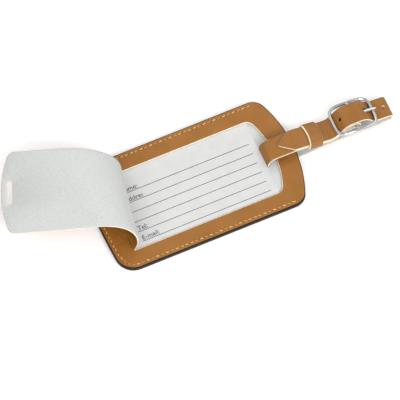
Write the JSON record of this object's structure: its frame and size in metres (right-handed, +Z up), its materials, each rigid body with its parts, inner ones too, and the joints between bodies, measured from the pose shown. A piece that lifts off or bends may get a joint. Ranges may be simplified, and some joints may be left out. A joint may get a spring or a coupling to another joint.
{
  "type": "luggage tag",
  "caption": "Flat leather luggage tag with a windowed card pocket, a curled-back privacy flap, an address card and a buckled strap loop with keeper.",
  "frame": {"origin": "on the ground under the tip of the arched end, on the underside of the strap's flat lower ply, on the tag's centre line", "axes": "+X runs along the tag from the hinge end to the arched end and on towards the strap loop, +Y across the tag, +Z up from the surface it lies on, out of the windowed front"},
  "size_m": [0.2299, 0.087, 0.0296],
  "materials": {
    "tan_leather": "satin",
    "strap_leather": "satin",
    "flap_leather": "matte",
    "grey_lining": "matte",
    "board": "matte",
    "thread": "matte",
    "card": "satin",
    "chrome": "polished"
  },
  "bodies": {
    "tag": {"back_panel": "tan_leather", "back_stiffener": "board", "pocket_lining": "grey_lining", "front_frame": "tan_leather", "front_stitches": "thread", "back_stitches": "thread"},
    "card": {"address_card": "card"},
    "flap_1": {"flap_strip_1": "flap_leather"},
    "flap_2": {"flap_strip_2": "flap_leather"},
    "flap_3": {"flap_strip_3": "flap_leather"},
    "flap_4": {"flap_strip_4": "flap_leather"},
    "flap_5": {"flap_strip_5": "flap_leather"},
    "flap_6": {"flap_strip_6": "flap_leather"},
    "flap_7": {"flap_strip_7": "flap_leather"},
    "flap_8": {"flap_strip_8": "flap_leather"},
    "flap_end": {"flap_panel": "flap_leather"},
    "strap": {"strap": "strap_leather", "strap_end_stitches": "thread"},
    "keeper": {"strap_keeper": "strap_leather", "keeper_staple": "chrome"},
    "buckle": {"buckle_frame": "chrome", "buckle_bar": "chrome"},
    "prong": {"buckle_prong": "chrome"}
  },
  "joints": [
    {"name": "flap_hinge", "type": "hinge", "parent": "tag", "child": "flap_1", "pos_m": [-0.10269, 0, 0.00329], "axis": [0.2201, 0.9755, 0.0029], "range_deg": [-3, 59]},
    {"name": "flap_crease_2", "type": "hinge", "parent": "flap_1", "child": "flap_2", "pos_m": [-0.10161, 0.00026, 0.00524], "axis": [0.2029, 0.9787, -0.031], "range_deg": [-0.82, 16.18]},
    {"name": "flap_crease_3", "type": "hinge", "parent": "flap_2", "child": "flap_3", "pos_m": [-0.10085, 0.00086, 0.00864], "axis": [0.1995, 0.9786, -0.0493], "range_deg": [-0.82, 16.18]},
    {"name": "flap_crease_4", "type": "hinge", "parent": "flap_3", "child": "flap_4", "pos_m": [-0.10116, 0.0019, 0.01296], "axis": [0.1992, 0.9789, -0.0458], "range_deg": [-0.82, 16.18]},
    {"name": "flap_crease_5", "type": "hinge", "parent": "flap_4", "child": "flap_5", "pos_m": [-0.10299, 0.00339, 0.01766], "axis": [0.1894, 0.9816, -0.0228], "range_deg": [-0.82, 16.18]},
    {"name": "flap_crease_6", "type": "hinge", "parent": "flap_5", "child": "flap_6", "pos_m": [-0.10651, 0.00535, 0.02209], "axis": [0.1602, 0.987, 0.0117], "range_deg": [-0.82, 16.18]},
    {"name": "flap_crease_7", "type": "hinge", "parent": "flap_6", "child": "flap_7", "pos_m": [-0.11166, 0.00774, 0.02557], "axis": [0.1067, 0.9932, 0.0458], "range_deg": [-0.82, 16.18]},
    {"name": "flap_crease_8", "type": "hinge", "parent": "flap_7", "child": "flap_8", "pos_m": [-0.11812, 0.01054, 0.02749], "axis": [0.0304, 0.9973, 0.0664], "range_deg": [-0.82, 16.18]},
    {"name": "flap_crease_9", "type": "hinge", "parent": "flap_8", "child": "flap_end", "pos_m": [-0.12537, 0.01373, 0.02743], "axis": [-0.0599, 0.9962, 0.0629], "range_deg": [-0.82, 16.18]},
    {"name": "card_slide", "type": "slide", "parent": "tag", "child": "card", "axis": [0.9999, 0, 0.0133], "range_m": [-0.006, 0]},
    {"name": "strap_swing", "type": "hinge", "parent": "tag", "child": "strap", "pos_m": [-0.01802, 0, 0.00242], "axis": [0, 1, 0], "range_deg": [0, 8]},
    {"name": "keeper_slide", "type": "slide", "parent": "strap", "child": "keeper", "axis": [0.9726, 0, -0.2324], "range_m": [-0.0035, 0.003]},
    {"name": "buckle_rock", "type": "hinge", "parent": "strap", "child": "buckle", "pos_m": [0.0365, 0, 0.0124], "axis": [0, 1, 0], "range_deg": [-5, 0.5]},
    {"name": "prong_swing", "type": "hinge", "parent": "buckle", "child": "prong", "pos_m": [0.0365, 0, 0.0124], "axis": [0, -1, 0], "range_deg": [0, 5]}
  ]
}
